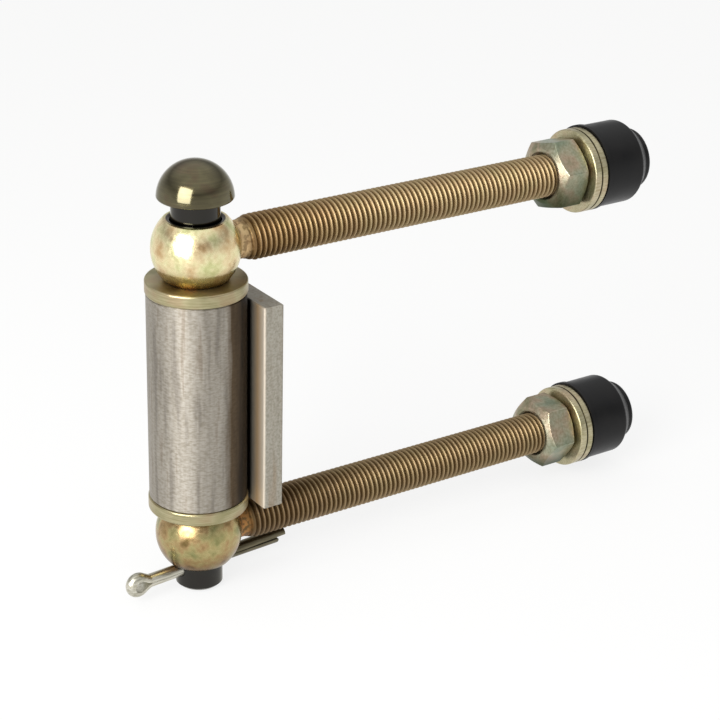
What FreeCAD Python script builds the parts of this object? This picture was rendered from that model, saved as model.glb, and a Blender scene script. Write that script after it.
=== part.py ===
import FreeCAD, Part
import Sketcher
import math
import os

# Adjustable gate hinge, in millimetres. The origin is the middle of the weld bar's outer face,
# which faces +X. +Z runs up the pin towards its head, and both threaded rods run along +X.
# The pieces are drawn about the pin's axis, from halfway up the sleeve, and then moved there.

doc = FreeCAD.newDocument("GateHinge")
sheet = doc.addObject("Spreadsheet::Sheet", "Sizes")

sizes = [
    # pin
    ("pinDia", 16.5, "shank of the pin"),
    ("pinPlay", 0.1, "gap all round the shank in the eyes and in the sleeve"),
    ("headRadius", 12.9, "half-ball head"),
    ("headEdge", 0.8, "rounding of the head's rim"),
    ("headGap", 7.0, "bare shank between the upper eye and the head"),
    ("pinPast", 9.4, "shank below the lower eye"),
    ("pinChamfer", 0.9, "chamfer at the pin's end"),
    # split pin
    ("wireRadius", 2.3, "half-round wire"),
    ("wireGap", 0.1, "slit between the two legs at the throat"),
    ("crossPlay", 0.15, "gap all round the split pin in its hole"),
    ("crossDrop", 2.6, "middle of the cross hole below the lower eye"),
    ("wireEyeDia", 8.9, "outside of the split pin's eye"),
    ("wireEyeSlope", 30.0, "degrees, slope of the wire from throat to eye"),
    ("throatRadius", 3.5, "bend at the throat"),
    ("throatReach", 20.5, "throat from the pin's axis"),
    ("longLeg", 36.2, "end of the upper leg from the pin's axis"),
    ("shortLeg", 33.2, "end of the lower leg from the pin's axis"),
    ("legStart", 1.0, "straight wire past the pin before the legs part"),
    ("legSpread", 0.9, "degrees, each leg from the middle line"),
    ("crossTurn", 5.0, "degrees, split pin from the rods' direction"),
    # eyes and rods
    ("ballDia", 30.0, "eye before its flats are cut"),
    ("eyeHeight", 21.0, "across the flats of the eye"),
    ("eyeChamfer", 0.6, "chamfer at each mouth of the eye's bore"),
    ("neckDia", 13.2, "neck between the eye and the thread"),
    ("neckFillet", 1.5, "fillet between ball and neck"),
    ("threadDia", 16.0, "outside of the thread"),
    ("threadStart", 18.5, "first full thread from the pin's axis"),
    ("rodReach", 181.0, "end of the rod from the pin's axis"),
    ("rodChamfer", 1.5, "chamfer at the rod's end"),
    ("upperPast", 4.2, "upper rod beyond its outer nut"),
    ("lowerPast", 1.8, "lower rod beyond its outer nut"),
    # sleeve and thrust washers
    ("sleeveDia", 33.7, "outside of the sleeve"),
    ("sleeveLength", 75.0, "length of the sleeve, and of the bar that is welded to it"),
    ("sleeveChamfer", 0.5, "chamfers at the sleeve's ends"),
    ("thrustDia", 34.4, "outside of the thrust washers"),
    ("thrustThick", 4.5, "thickness of the thrust washers"),
    ("thrustEdge", 0.6, "rounding of their outer edges"),
    # weld bar and its weld
    ("barWidth", 30.0, "flat bar, along Y"),
    ("barThick", 7.7, "flat bar, along X"),
    ("barDrop", 5.0, "middle of the bar below the middle of the sleeve"),
    ("barEdge", 0.8, "rolled rounding of the bar's long edges"),
    ("barBurr", 0.4, "chamfer at the bar's sawn ends"),
    ("weldGap", 0.45, "root gap between the sleeve and the bar"),
    ("beadRoot", 3.0, "near edge of the weld bead from the plane of the rods"),
    ("beadLeg", 7.5, "height of the bead on the bar's face"),
    ("beadLength", 60.0, "length of the weld bead"),
    # nuts, washers and caps
    ("nutFlats", 24.0, "across the nut's flats"),
    ("nutHeight", 13.0, "height of the nut"),
    ("nutFaceDia", 20.2, "round face left by the nut's chamfer"),
    ("nutSlope", 30.0, "degrees, slope of the nut's chamfer"),
    ("nutPlay", 0.1, "gap between thread and nut, which both stand at the thread's outside"),
    ("nutSink", 0.8, "countersink at each end of the nut's thread"),
    ("upperNutTurn", 15.0, "degrees, upper inner nut from corner up"),
    ("lowerNutTurn", 34.5, "degrees, lower inner nut from corner up"),
    ("hiddenNutTurn", 0.0, "degrees, outer nuts from corner up"),
    ("washerDia", 31.0, "outside of the rods' washers"),
    ("washerBore", 17.0, "bore of the rods' washers"),
    ("washerDrop", 0.4, "the washers hang this far down on the thread, within their play"),
    ("washerThick", 3.0, "thickness of the rods' washers"),
    ("washerEdge", 0.6, "punched rounding of the washers' outer edge"),
    ("capPlay", 0.25, "gap between the cap and the nut's corners"),
    ("capWall", 1.3, "wall of the cap"),
    ("capLip", 0.5, "lip at the cap's mouth beyond its skirt"),
    ("capLipLength", 1.6, "length of the lip"),
    ("capSkirtPast", 3.6, "straight skirt beyond the outer nut"),
    ("capShoulder", 5.0, "length of the sloping shoulder"),
    ("capEndRadius", 11.4, "round end of the cap"),
    ("capRoom", 5.5, "room between the upper rod's end and the inside of its cap"),
    ("capRound", 1.4, "rounding of the cap's end"),
    ("capBend", 1.6, "rounding between skirt and shoulder"),
]
for row, (alias, number, note) in enumerate(sizes, start=1):
    sheet.set("A%d" % row, alias)
    sheet.set("B%d" % row, str(number))
    sheet.set("C%d" % row, note)
    sheet.setAlias("B%d" % row, alias)
doc.recompute()


# A length or an angle with the expression that gives it, so that each formula is written once.
class Size:
    def __init__(self, text, number):
        self.text = text
        self.number = float(number)

    def __add__(self, other):
        other = plain(other)
        return Size("(%s + %s)" % (self.text, other.text), self.number + other.number)

    def __sub__(self, other):
        other = plain(other)
        return Size("(%s - %s)" % (self.text, other.text), self.number - other.number)

    def __mul__(self, other):
        other = plain(other)
        return Size("(%s * %s)" % (self.text, other.text), self.number * other.number)

    def __truediv__(self, other):
        other = plain(other)
        return Size("(%s / %s)" % (self.text, other.text), self.number / other.number)

    def __neg__(self):
        return Size("(0 - %s)" % self.text, -self.number)


def plain(value):
    return value if isinstance(value, Size) else Size(repr(float(value)), value)


def root(value):
    return Size("sqrt(%s)" % value.text, math.sqrt(value.number))


def sine(angle):
    return Size("sin(%s * 1 deg)" % angle.text, math.sin(math.radians(angle.number)))


def cosine(angle):
    return Size("cos(%s * 1 deg)" % angle.text, math.cos(math.radians(angle.number)))


def cell(alias):
    return Size("Sizes.%s" % alias, sheet.get(alias))


nought = plain(0)
pinRadius = cell("pinDia") / 2
boreRadius = pinRadius + cell("pinPlay")
ballRadius = cell("ballDia") / 2
eyeHalf = cell("eyeHeight") / 2
threadRadius = cell("threadDia") / 2
neckRadius = cell("neckDia") / 2
rodHeight = cell("sleeveLength") / 2 + cell("thrustThick") + eyeHalf
nutCorner = cell("nutFlats") / 2 / cosine(plain(30))
barFace = cell("sleeveDia") / 2 + cell("weldGap")
barReach = barFace + cell("barThick")
wireOffset = cell("wireGap") / 2


def bind(thing, measure, size):
    thing.setExpression(measure, size.text)


def makeBody(name):
    body = doc.addObject("PartDesign::Body", name)
    body.Label = name
    return body


def originPlane(body, role):
    return next(feature for feature in body.Origin.OriginFeatures if feature.Role == role)


def makeSketch(body, name, role):
    sketch = body.newObject("Sketcher::SketchObject", name)
    sketch.AttachmentSupport = [(originPlane(body, role), "")]
    sketch.MapMode = "FlatFace"
    return sketch


# Holds one point of a sketch at x and y from its origin.
def holdPoint(sketch, geometry, end, x, y):
    for kind, size, axis in (("DistanceX", x, -2), ("DistanceY", y, -1)):
        if size is nought:
            sketch.addConstraint(Sketcher.Constraint("PointOnObject", geometry, end, axis))
            continue
        number = sketch.addConstraint(
            Sketcher.Constraint(kind, -1, 1, geometry, end, size.number)
        )
        sketch.setExpression("Constraints[%d]" % number, size.text)


# Draws lines and arcs through the points. An entry of bends, keyed by the number of the point
# where the arc starts, gives the arc's radius and centre, and whether it turns to the left.
def drawPath(sketch, points, bends=None, closed=True):
    bends = bends or {}
    spots = [FreeCAD.Vector(x.number, y.number, 0) for x, y in points]
    count = len(points) if closed else len(points) - 1
    ends = []
    for i in range(count):
        start, stop = spots[i], spots[(i + 1) % len(points)]
        if i not in bends:
            line = sketch.addGeometry(Part.LineSegment(start, stop))
            ends.append((line, 1, 2))
            continue
        radius, (centreX, centreY), leftward = bends[i]
        centre = FreeCAD.Vector(centreX.number, centreY.number, 0)
        circle = Part.Circle(centre, FreeCAD.Vector(0, 0, 1), radius.number)
        first, last = (start, stop) if leftward else (stop, start)
        fromAngle = math.atan2(first.y - centre.y, first.x - centre.x)
        toAngle = math.atan2(last.y - centre.y, last.x - centre.x)
        if toAngle < fromAngle:
            toAngle += 2 * math.pi
        arc = sketch.addGeometry(Part.ArcOfCircle(circle, fromAngle, toAngle))
        ends.append((arc, 1, 2) if leftward else (arc, 2, 1))
        # the radius leaves a half turn loose, so its centre is held instead
        if abs(start.distanceToPoint(stop) - 2 * radius.number) < 1e-6:
            rule, size = Sketcher.Constraint("DistanceX", -1, 1, arc, 3, centre.x), centreX
        else:
            rule, size = Sketcher.Constraint("Radius", arc, radius.number), radius
        held = sketch.addConstraint(rule)
        sketch.setExpression("Constraints[%d]" % held, size.text)
    for i in range(count if closed else count - 1):
        here, after = ends[i], ends[(i + 1) % count]
        sketch.addConstraint(
            Sketcher.Constraint("Coincident", here[0], here[2], after[0], after[1])
        )
    for (geometry, start, _), (x, y) in zip(ends, points):
        holdPoint(sketch, geometry, start, x, y)
    if not closed:
        holdPoint(sketch, ends[-1][0], ends[-1][2], *points[-1])


def revolve(body, name, sketch, axis):
    turned = body.newObject("PartDesign::Revolution", name)
    turned.Profile = sketch
    turned.ReferenceAxis = (sketch, [axis])
    turned.Angle = 360
    sketch.Visibility = False
    return turned


def cutRound(body, name, sketch, axis):
    groove = body.newObject("PartDesign::Groove", name)
    groove.Profile = sketch
    groove.ReferenceAxis = (sketch, [axis])
    groove.Angle = 360
    sketch.Visibility = False
    return groove


def pad(body, name, sketch, length, bothWays=False):
    raised = body.newObject("PartDesign::Pad", name)
    raised.Profile = sketch
    raised.Midplane = bothWays
    bind(raised, "Length", length)
    sketch.Visibility = False
    return raised


# Names of the edges of a feature for which the test holds. A ball's poles are left out.
def edgesWhere(feature, test):
    doc.recompute()
    edges = enumerate(feature.Shape.Edges, start=1)
    return ["Edge%d" % i for i, edge in edges if not edge.Degenerated and test(edge)]


def facesWhere(feature, test):
    doc.recompute()
    faces = enumerate(feature.Shape.Faces, start=1)
    return ["Face%d" % i for i, face in faces if test(face)]


def circleOf(edge, radius):
    return isinstance(edge.Curve, Part.Circle) and abs(edge.Curve.Radius - radius.number) < 1e-4


def circleAt(edge, radius, x):
    return circleOf(edge, radius) and abs(edge.Curve.Center.x - x.number) < 1e-4


def alongZ(edge):
    return isinstance(edge.Curve, Part.Line) and abs(edge.tangentAt(edge.FirstParameter).z) > 0.999


def acrossZ(face):
    return isinstance(face.Surface, Part.Plane) and abs(face.normalAt(0, 0).z) > 0.999


def dress(body, kind, name, feature, edges, measure, size):
    dressed = body.newObject("PartDesign::" + kind, name)
    dressed.Base = (feature, edges)
    bind(dressed, measure, size)
    return dressed


# Turns a body about an axis and moves it to x along the rods and z up the pin, which are
# counted from the pin's axis and the middle of the sleeve.
def place(body, x=nought, z=nought, turn=nought, axis=(0, 0, 1)):
    spin = FreeCAD.Rotation(FreeCAD.Vector(*axis), 1)
    body.Placement = FreeCAD.Placement(FreeCAD.Vector(0, 0, 0), spin)
    bind(body, "Placement.Rotation.Angle", turn)
    bind(body, "Placement.Base.x", x - barReach)
    bind(body, "Placement.Base.z", z + cell("barDrop"))


# The pin stands with its end on the body's origin, so that every height counts from there.
def makeHingePin():
    body = makeBody("hinge_pin")
    chamfer = cell("pinChamfer")
    headRadius = cell("headRadius")
    under = cell("pinPast") + rodHeight * 2 + cell("eyeHeight") + cell("headGap")
    profile = makeSketch(body, "pin_profile", "XZ_Plane")
    drawPath(
        profile,
        [
            (nought, nought),
            (pinRadius - chamfer, nought),
            (pinRadius, chamfer),
            (pinRadius, under),
            (headRadius, under),
            (nought, under + headRadius),
        ],
        {4: (headRadius, (nought, under), True)},
    )
    turned = revolve(body, "pin_turning", profile, "V_Axis")
    rim = edgesWhere(turned, lambda edge: circleOf(edge, headRadius))
    dress(body, "Fillet", "head_rim", turned, rim, "Radius", cell("headEdge"))

    cross = makeSketch(body, "cross_hole_circle", "YZ_Plane")
    circle = cross.addGeometry(
        Part.Circle(FreeCAD.Vector(0, 1, 0), FreeCAD.Vector(0, 0, 1), cell("wireRadius").number)
    )
    hole = cell("wireRadius") + wireOffset + cell("crossPlay")
    held = cross.addConstraint(Sketcher.Constraint("Radius", circle, hole.number))
    cross.setExpression("Constraints[%d]" % held, hole.text)
    holdPoint(cross, circle, 3, nought, cell("pinPast") - cell("crossDrop"))
    drilled = body.newObject("PartDesign::Pocket", "cross_hole")
    drilled.Profile = cross
    drilled.Type = "ThroughAll"
    drilled.Midplane = True
    cross.Visibility = False
    place(body, z=-(rodHeight + eyeHalf + cell("pinPast")), turn=cell("crossTurn"))
    return body


# One half of the split pin: the flat side of its half-round wire follows this path, from the
# far side of the eye through the throat to the end of one leg. side is 1 above, -1 below.
def drawWirePath(sketch, reach, side):
    slope = cell("wireEyeSlope")
    spread = cell("legSpread")
    inside = cell("wireEyeDia") / 2 - cell("wireRadius")
    bend = cell("throatRadius")
    run = (inside * cosine(slope) - wireOffset - bend * (plain(1) - cosine(slope))) / sine(slope)
    centre = -(
        cell("throatReach") + inside * sine(slope) + run * cosine(slope) + bend * sine(slope)
    )
    knee = pinRadius + cell("legStart")
    drop = knee - reach
    points = [
        (centre - inside, nought),
        (centre + inside * sine(slope), inside * cosine(slope)),
        (-cell("throatReach") - bend * sine(slope), wireOffset + bend * (plain(1) - cosine(slope))),
        (-cell("throatReach"), wireOffset),
        (knee, wireOffset),
        (reach, wireOffset - drop * sine(spread) / cosine(spread)),
    ]
    middle = (centre, nought)
    throat = (-cell("throatReach"), wireOffset + bend)
    if side < 0:
        points = [(x, y if y is nought else -y) for x, y in points]
        throat = (throat[0], -throat[1])
    drawPath(
        sketch,
        points,
        {0: (inside, middle, side < 0), 2: (bend, throat, side > 0)},
        closed=False,
    )
    return centre - inside


# The split pin's half-round wire, swept both ways from the far side of its eye.
def makeSplitPin():
    body = makeBody("split_pin")
    wire = cell("wireRadius")
    sides = (("upper", cell("longLeg"), 1), ("lower", cell("shortLeg"), -1))
    for name, reach, side in sides:
        path = makeSketch(body, name + "_path", "XZ_Plane")
        far = drawWirePath(path, reach, side)
        section = makeSketch(body, name + "_section", "XY_Plane")
        drawPath(
            section,
            [(far, -wire), (far, wire)],
            {1: (wire, (far, nought), True)},
        )
        swept = body.newObject("PartDesign::AdditivePipe", name + "_leg")
        swept.Profile = section
        swept.Spine = (path, [])
        swept.Mode = "Frenet"
        path.Visibility = False
        section.Visibility = False
    place(body, z=-(rodHeight + eyeHalf + cell("crossDrop")), turn=cell("crossTurn"))
    return body


# One forging: a ball with two flats and a bore, a short neck and the threaded rod. The thread
# stands as its outside cylinder, and its face is parted where the inner nut's front lies.
def makeEyeBolt(name, height, nutFront):
    body = makeBody(name)
    chamfer = cell("eyeChamfer")
    flatRadius = root(ballRadius * ballRadius - eyeHalf * eyeHalf)
    ball = makeSketch(body, name + "_ball", "XZ_Plane")
    drawPath(
        ball,
        [
            (boreRadius + chamfer, -eyeHalf),
            (flatRadius, -eyeHalf),
            (flatRadius, eyeHalf),
            (boreRadius + chamfer, eyeHalf),
            (boreRadius, eyeHalf - chamfer),
            (boreRadius, chamfer - eyeHalf),
        ],
        {1: (ballRadius, (nought, nought), True)},
    )
    revolve(body, name + "_eye", ball, "V_Axis")

    start = boreRadius + (ballRadius - boreRadius) / 3
    reach, end = cell("rodReach"), cell("rodChamfer")
    rod = makeSketch(body, name + "_rod_profile", "XZ_Plane")
    drawPath(
        rod,
        [
            (start, nought),
            (reach, nought),
            (reach, threadRadius - end),
            (reach - end, threadRadius),
            (nutFront, threadRadius),
            (cell("threadStart"), threadRadius),
            (cell("threadStart") - (threadRadius - neckRadius), neckRadius),
            (start, neckRadius),
        ],
    )
    turned = revolve(body, name + "_rod", rod, "H_Axis")
    turned.Refine = False
    ballEnd = root(ballRadius * ballRadius - neckRadius * neckRadius)
    neck = edgesWhere(turned, lambda edge: circleAt(edge, neckRadius, ballEnd))
    filleted = dress(body, "Fillet", name + "_neck", turned, neck, "Radius", cell("neckFillet"))
    filleted.Refine = False
    place(body, z=height)
    return body


def makeSleeve():
    body = makeBody("sleeve")
    outside = cell("sleeveDia") / 2
    half = cell("sleeveLength") / 2
    chamfer = cell("sleeveChamfer")
    profile = makeSketch(body, "sleeve_profile", "XZ_Plane")
    drawPath(
        profile,
        [
            (boreRadius + chamfer, -half),
            (outside - chamfer, -half),
            (outside, chamfer - half),
            (outside, half - chamfer),
            (outside - chamfer, half),
            (boreRadius + chamfer, half),
            (boreRadius, half - chamfer),
            (boreRadius, chamfer - half),
        ],
    )
    revolve(body, "sleeve_turning", profile, "V_Axis")
    place(body)
    return body


def makeThrustWasher(name, side):
    body = makeBody(name)
    outside = cell("thrustDia") / 2
    half = cell("thrustThick") / 2
    profile = makeSketch(body, name + "_profile", "XZ_Plane")
    drawPath(
        profile,
        [(boreRadius, -half), (outside, -half), (outside, half), (boreRadius, half)],
    )
    ring = revolve(body, name + "_ring", profile, "V_Axis")
    edges = edgesWhere(ring, lambda edge: circleOf(edge, outside))
    dress(body, "Fillet", name + "_edge", ring, edges, "Radius", cell("thrustEdge"))
    height = cell("sleeveLength") / 2 + half
    place(body, z=height if side > 0 else -height)
    return body


def makeWeldBar():
    body = makeBody("weld_bar")
    half = cell("barWidth") / 2
    section = makeSketch(body, "bar_section", "XY_Plane")
    drawPath(section, [(barFace, -half), (barReach, -half), (barReach, half), (barFace, half)])
    rolled = pad(body, "bar_length", section, cell("sleeveLength"), bothWays=True)
    edges = edgesWhere(rolled, alongZ)
    rounded = dress(body, "Fillet", "rolled_edges", rolled, edges, "Radius", cell("barEdge"))
    sawn = facesWhere(rounded, acrossZ)
    dress(body, "Chamfer", "sawn_ends", rounded, sawn, "Size", cell("barBurr"))
    place(body, z=-cell("barDrop"))
    return body


# The weld bead fills the wedge between the sleeve and the bar's face.
def makeWeldBead():
    body = makeBody("weld_bead")
    outside = cell("sleeveDia") / 2
    near = cell("beadRoot")
    far = near + cell("beadLeg")
    crown = cell("beadLeg") * 0.75
    onSleeve = near + cell("beadLeg") * 0.8
    section = makeSketch(body, "bead_section", "XY_Plane")
    nearX = root(outside * outside - near * near)
    farX = root(outside * outside - onSleeve * onSleeve)
    # the crown is an arc through the ends of both legs, and its centre lies on their middle line
    spanX = barFace - farX
    spanY = far - onSleeve
    rise = root(crown * crown / (spanX * spanX + spanY * spanY) - 0.25)
    centre = (farX + spanX / 2 + spanY * rise, onSleeve + spanY / 2 - spanX * rise)
    drawPath(
        section,
        [(nearX, near), (barFace, near), (barFace, far), (farX, onSleeve)],
        {
            2: (crown, centre, True),
            3: (outside, (nought, nought), False),
        },
    )
    pad(body, "bead_run", section, cell("beadLength"), bothWays=True)
    place(body, z=-cell("barDrop") / 2)
    return body


# A hexagon nut, chamfered and countersunk at both faces. It is drawn with one corner up, and its
# near face is at the body's origin.
def makeNut(name, x, height, turn):
    body = makeBody(name)
    half, depth, sink = cell("nutFlats") / 2, cell("nutHeight"), cell("nutSink")
    quarter = nutCorner / 2
    hexagon = makeSketch(body, name + "_hexagon", "YZ_Plane")
    drawPath(
        hexagon,
        [
            (nought, nutCorner),
            (-half, quarter),
            (-half, -quarter),
            (nought, -nutCorner),
            (half, -quarter),
            (half, quarter),
        ],
    )
    pad(body, name + "_blank", hexagon, depth)

    face = cell("nutFaceDia") / 2
    beyond = nutCorner + sink
    cut = (beyond - face) * sine(cell("nutSlope")) / cosine(cell("nutSlope"))
    ends = (("front", nought, cut), ("back", depth, depth - cut))
    for end, flat, foot in ends:
        corner = makeSketch(body, "%s_%s_corners" % (name, end), "XZ_Plane")
        drawPath(corner, [(flat, face), (flat, beyond), (foot, beyond)])
        cutRound(body, "%s_%s_chamfer" % (name, end), corner, "H_Axis")

    bore = threadRadius + cell("nutPlay")
    thread = makeSketch(body, name + "_bore_profile", "XZ_Plane")
    drawPath(
        thread,
        [
            (nought, nought),
            (depth, nought),
            (depth, bore + sink),
            (depth - sink, bore),
            (sink, bore),
            (nought, bore + sink),
        ],
    )
    cutRound(body, name + "_bore", thread, "H_Axis")
    place(body, x=x, z=height, turn=turn, axis=(1, 0, 0))
    return body


# A punched washer: round over its outer edge at one face, sharp at the other.
def makeWasher(name, x, height):
    body = makeBody(name)
    outside, thick = cell("washerDia") / 2, cell("washerThick")
    bore = cell("washerBore") / 2
    profile = makeSketch(body, name + "_profile", "XZ_Plane")
    drawPath(profile, [(nought, bore), (nought, outside), (thick, outside), (thick, bore)])
    ring = revolve(body, name + "_ring", profile, "H_Axis")
    edges = edgesWhere(ring, lambda edge: circleOf(edge, outside))
    dress(body, "Fillet", name + "_edge", ring, edges, "Radius", cell("washerEdge"))
    place(body, x=x, z=height)
    return body


# The moulded cap: a lip, a straight skirt that clears the nut's corners, a sloping shoulder and
# a round end, all of one wall. Its mouth is at the body's origin.
def makeCap(name, x, height):
    body = makeBody(name)
    wall = cell("capWall")
    length = cell("nutHeight") + cell("upperPast") + cell("capRoom") + wall
    cavity = nutCorner + cell("capPlay")
    skirt = cavity + wall
    lip = skirt + cell("capLip")
    skirtEnd = cell("nutHeight") + cell("capSkirtPast")
    shoulder = skirtEnd + cell("capShoulder")
    end = cell("capEndRadius")
    profile = makeSketch(body, name + "_profile", "XZ_Plane")
    drawPath(
        profile,
        [
            (nought, cavity),
            (nought, lip),
            (cell("capLipLength"), lip),
            (cell("capLipLength"), skirt),
            (skirtEnd, skirt),
            (shoulder, end),
            (length, end),
            (length, nought),
            (length - wall, nought),
            (length - wall, end - wall),
            (shoulder - wall, end - wall),
            (skirtEnd - wall / 2, cavity),
        ],
    )
    shell = revolve(body, name + "_shell", profile, "H_Axis")
    rim = edgesWhere(shell, lambda edge: circleAt(edge, end, length))
    rounded = dress(body, "Fillet", name + "_end", shell, rim, "Radius", cell("capRound"))
    bend = edgesWhere(rounded, lambda edge: circleAt(edge, skirt, skirtEnd))
    dress(body, "Fillet", name + "_bend", rounded, bend, "Radius", cell("capBend"))
    place(body, x=x, z=height)
    return body


pieces = [makeHingePin(), makeSplitPin(), makeSleeve(), makeWeldBar(), makeWeldBead()]
sides = (
    ("upper", rodHeight, cell("upperPast"), cell("upperNutTurn"), 1),
    ("lower", -rodHeight, cell("lowerPast"), cell("lowerNutTurn"), -1),
)
for side, height, past, nutTurn, sign in sides:
    capMouth = cell("rodReach") - past - cell("nutHeight")
    clamp = capMouth - cell("washerThick")
    nutBack = clamp - cell("washerThick")
    nutFront = nutBack - cell("nutHeight")
    pieces += [
        makeThrustWasher(side + "_thrust_washer", sign),
        makeEyeBolt(side + "_eye_bolt", height, nutFront),
        makeNut(side + "_inner_nut", nutFront, height, nutTurn),
        makeWasher(side + "_inner_washer", nutBack, height - cell("washerDrop")),
        makeWasher(side + "_outer_washer", clamp, height - cell("washerDrop")),
        makeNut(side + "_outer_nut", capMouth, height, cell("hiddenNutTurn")),
        makeCap(side + "_end_cap", capMouth, height),
    ]
doc.recompute()

# Every feature must have computed, and every piece must be one valid solid.
for thing in doc.Objects:
    if "Invalid" in thing.State or "Error" in thing.State:
        raise RuntimeError("%s failed: %s" % (thing.Name, thing.State))
for piece in pieces:
    shape = piece.Shape
    if shape.isNull() or not shape.isValid() or len(shape.Solids) != 1:
        raise RuntimeError("%s is not one valid solid" % piece.Label)

os.makedirs("parts", exist_ok=True)
for piece in pieces:
    piece.Shape.exportStep(os.path.join("parts", piece.Label + ".step"))
    print("%-20s %10.1f mm3" % (piece.Label, piece.Shape.Volume))
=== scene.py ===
import math

import bmesh
import bpy
from mathutils import Matrix, Vector


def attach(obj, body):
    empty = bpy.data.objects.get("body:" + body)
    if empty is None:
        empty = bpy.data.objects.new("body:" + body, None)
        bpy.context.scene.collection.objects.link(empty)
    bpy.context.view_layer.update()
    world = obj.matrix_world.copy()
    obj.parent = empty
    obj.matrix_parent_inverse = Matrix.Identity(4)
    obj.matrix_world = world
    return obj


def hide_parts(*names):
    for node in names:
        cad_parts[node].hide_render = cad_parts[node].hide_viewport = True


# An adjustable gate hinge. Every length is in millimetres until mm turns it to metres.
mm = 0.001

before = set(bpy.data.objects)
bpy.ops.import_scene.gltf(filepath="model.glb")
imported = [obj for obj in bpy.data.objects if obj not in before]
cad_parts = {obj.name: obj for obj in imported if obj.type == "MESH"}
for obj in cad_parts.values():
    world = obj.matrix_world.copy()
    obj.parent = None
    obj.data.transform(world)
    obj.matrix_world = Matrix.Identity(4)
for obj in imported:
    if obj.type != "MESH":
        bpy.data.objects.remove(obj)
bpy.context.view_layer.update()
print("frame loaded,", len(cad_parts), "nodes")

noiseSpan = (0.3, 0.7)  # nearly all of a noise's values lie between these


# sRGB hex to the linear colour that sockets take
def linear(code):
    colour = []
    for start in (1, 3, 5):
        value = int(code[start:start + 2], 16) / 255
        colour.append(value / 12.92 if value <= 0.04045 else ((value + 0.055) / 1.055) ** 2.4)
    return colour + [1.0]


# Adds a node. Inputs are sockets to link from or values to set, stops are a colour ramp's.
def addNode(tree, kind, inputs=None, stops=None, **settings):
    node = tree.nodes.new(kind)
    for name, value in settings.items():
        setattr(node, name, value)
    for key, value in (inputs or {}).items():
        if isinstance(value, bpy.types.NodeSocket):
            tree.links.new(value, node.inputs[key])
        else:
            node.inputs[key].default_value = value
    for number, (place, code) in enumerate(stops or []):
        ramp = node.color_ramp.elements
        stop = ramp[number] if number < 2 else ramp.new(place)
        stop.position = place
        stop.color = linear(code)
    return node


def startMaterial(name):
    material = bpy.data.materials.new(name)
    material.use_nodes = True
    material.node_tree.nodes.clear()
    return material, material.node_tree


# A metal whose colour drifts in blotches, with a finer grain that roughens it. Each size is a
# blotch's or a grain's length along X, Y and Z. cover adds what only this finish has.
def makeMetal(name, look, cover=None):
    metal, tree = startMaterial(name)
    here = addNode(tree, "ShaderNodeTexCoord").outputs["Object"]
    layers = {}
    for layer in ("blotch", "grain"):
        sizes = [1 / (size * mm) for size in look[layer]]
        spread = addNode(tree, "ShaderNodeMapping", {"Vector": here, "Scale": sizes})
        layers[layer] = addNode(
            tree,
            "ShaderNodeTexNoise",
            {"Vector": spread.outputs[0], "Scale": 1.0, "Detail": look[layer + "Detail"]},
        ).outputs["Fac"]
    tint = addNode(tree, "ShaderNodeValToRGB", {"Fac": layers["blotch"]}, stops=look["tints"])
    shade = addNode(tree, "ShaderNodeValToRGB", {"Fac": layers["grain"]}, stops=look["grainShade"])
    colour = addNode(
        tree,
        "ShaderNodeMix",
        {0: 1.0, 6: tint.outputs["Color"], 7: shade.outputs["Color"]},
        data_type="RGBA",
        blend_type="MULTIPLY",
    ).outputs[2]
    low, high = look["roughness"]
    rough = addNode(
        tree,
        "ShaderNodeMapRange",
        {"Value": layers["grain"], 1: noiseSpan[0], 2: noiseSpan[1], 3: low, 4: high},
    ).outputs[0]
    relief = {}
    for layer in ("grain", "blotch"):
        relief.update({"Height": layers[layer], "Distance": look[layer + "Depth"] * mm})
        relief["Normal"] = addNode(tree, "ShaderNodeBump", relief).outputs[0]
    if cover:
        colour, rough = cover(tree, here, colour, rough)
    inputs = {
        "Base Color": colour,
        "Roughness": rough,
        "Metallic": look.get("metallic", 1.0),
        "Normal": relief["Normal"],
    }
    if "coat" in look:
        inputs["Coat Weight"] = look["coat"]
        inputs["Coat Roughness"] = look["coatRoughness"]
        inputs["Specular Tint"] = linear(look["edge"])
    if "turned" in look:
        around = addNode(tree, "ShaderNodeTangent", direction_type="RADIAL", axis="Z")
        inputs["Tangent"] = around.outputs[0]
        inputs["Anisotropic"] = look["turned"]
        inputs["Anisotropic Rotation"] = 0.25  # a quarter turn: light is drawn out along Z
    shader = addNode(tree, "ShaderNodeBsdfPrincipled", inputs)
    addNode(tree, "ShaderNodeOutputMaterial", {"Surface": shader.outputs[0]})
    return metal


# Distance from the line along the axis that is left out of "across", through middle.
def lineDistance(tree, here, middle, across):
    start = [value * mm for value in middle]
    moved = addNode(tree, "ShaderNodeVectorMath", {0: here, 1: start}, operation="SUBTRACT")
    flat = addNode(
        tree, "ShaderNodeVectorMath", {0: moved.outputs[0], 1: across}, operation="MULTIPLY"
    )
    away = addNode(tree, "ShaderNodeVectorMath", {0: flat.outputs[0]}, operation="LENGTH")
    return away.outputs["Value"]


# Lays a film on a colour. Its shade runs through the stops while value goes through reach.
def layFilm(tree, colour, value, reach, stops, share=1.0, blend="MULTIPLY"):
    low, high = (end * mm for end in reach)
    place = addNode(tree, "ShaderNodeMapRange", {"Value": value, 1: low, 2: high})
    film = addNode(tree, "ShaderNodeValToRGB", {"Fac": place.outputs[0]}, stops=stops)
    return addNode(
        tree,
        "ShaderNodeMix",
        {0: share, 6: colour, 7: film.outputs["Color"]},
        data_type="RGBA",
        blend_type=blend,
    ).outputs[2]


# One side's look: what the upper and the lower piece don't share is given for each of them.
def lookOf(look, side):
    return {key: value[side] if isinstance(value, dict) else value for key, value in look.items()}


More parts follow.
